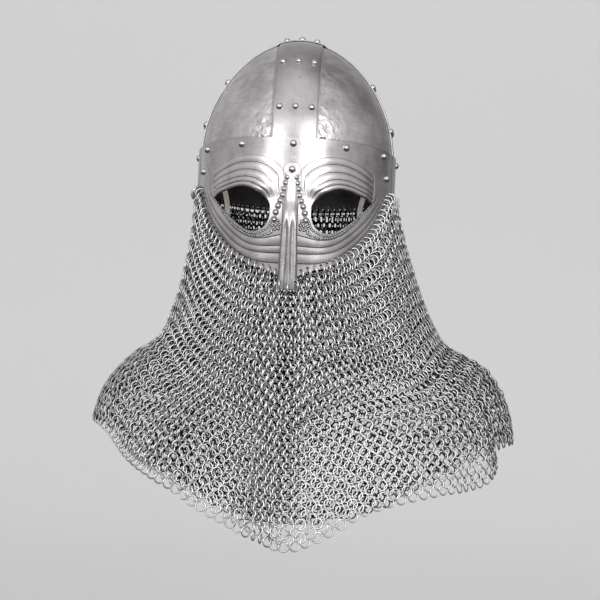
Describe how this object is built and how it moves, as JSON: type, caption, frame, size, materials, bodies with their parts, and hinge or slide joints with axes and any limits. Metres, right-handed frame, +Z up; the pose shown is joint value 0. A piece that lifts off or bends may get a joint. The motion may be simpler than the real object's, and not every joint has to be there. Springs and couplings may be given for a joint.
{
  "type": "viking spectacle helmet with a mail curtain",
  "caption": "Riveted iron-age style helmet: domed skull with crossed bands, embossed spectacle guard with nasal, a full mail curtain over the shoulders and a chin strap.",
  "frame": {"origin": "underside of the crown, on the head's upright centre line, where the helmet sits on the wearer's head", "axes": "+Z up; the face looks along -Y; +X is the wearer's left"},
  "size_m": [0.4579, 0.3118, 0.5467],
  "materials": {
    "hammered_steel": "hammered, dull",
    "band_steel": "smooth brushed",
    "guard_steel": "embossed and brushed",
    "rivet_steel": "polished",
    "mail_steel": "bright wire",
    "strap_leather": "pale, worn"
  },
  "bodies": {
    "root": {"dome_plate_1": "hammered_steel", "dome_plate_2": "hammered_steel", "dome_plate_3": "hammered_steel", "dome_plate_4": "hammered_steel", "fore_aft_band": "band_steel", "cross_band": "band_steel", "brow_band": "band_steel", "spectacle_guard": "guard_steel", "nasal_bar": "guard_steel", "mail_curtain": "mail_steel", "chin_strap": "strap_leather", "brow_rivet_1": "rivet_steel", "brow_rivet_2": "rivet_steel", "brow_rivet_3": "rivet_steel", "brow_rivet_4": "rivet_steel", "brow_rivet_5": "rivet_steel", "brow_rivet_6": "rivet_steel", "brow_rivet_7": "rivet_steel", "brow_rivet_8": "rivet_steel", "brow_rivet_9": "rivet_steel", "brow_rivet_10": "rivet_steel", "brow_rivet_11": "rivet_steel", "brow_rivet_12": "rivet_steel", "cheek_rivet_left": "rivet_steel", "cheek_rivet_right": "rivet_steel", "nasal_rivet": "rivet_steel", "front_rivet_1_1": "rivet_steel", "front_rivet_1_2": "rivet_steel", "front_rivet_1_3": "rivet_steel", "front_rivet_2_1": "rivet_steel", "front_rivet_2_2": "rivet_steel", "front_rivet_2_3": "rivet_steel", "right_rivet_1_1": "rivet_steel", "right_rivet_1_2": "rivet_steel", "right_rivet_1_3": "rivet_steel", "right_rivet_2_1": "rivet_steel", "right_rivet_2_2": "rivet_steel", "right_rivet_2_3": "rivet_steel", "back_rivet_1_1": "rivet_steel", "back_rivet_1_2": "rivet_steel", "back_rivet_1_3": "rivet_steel", "back_rivet_2_1": "rivet_steel", "back_rivet_2_2": "rivet_steel", "back_rivet_2_3": "rivet_steel", "left_rivet_1_1": "rivet_steel", "left_rivet_1_2": "rivet_steel", "left_rivet_1_3": "rivet_steel", "left_rivet_2_1": "rivet_steel", "left_rivet_2_2": "rivet_steel", "left_rivet_2_3": "rivet_steel", "front_rivet_crown_1": "rivet_steel", "front_rivet_crown_2": "rivet_steel", "front_rivet_crown_3": "rivet_steel", "back_rivet_crown_1": "rivet_steel", "back_rivet_crown_2": "rivet_steel", "back_rivet_crown_3": "rivet_steel"}
  },
  "joints": []
}
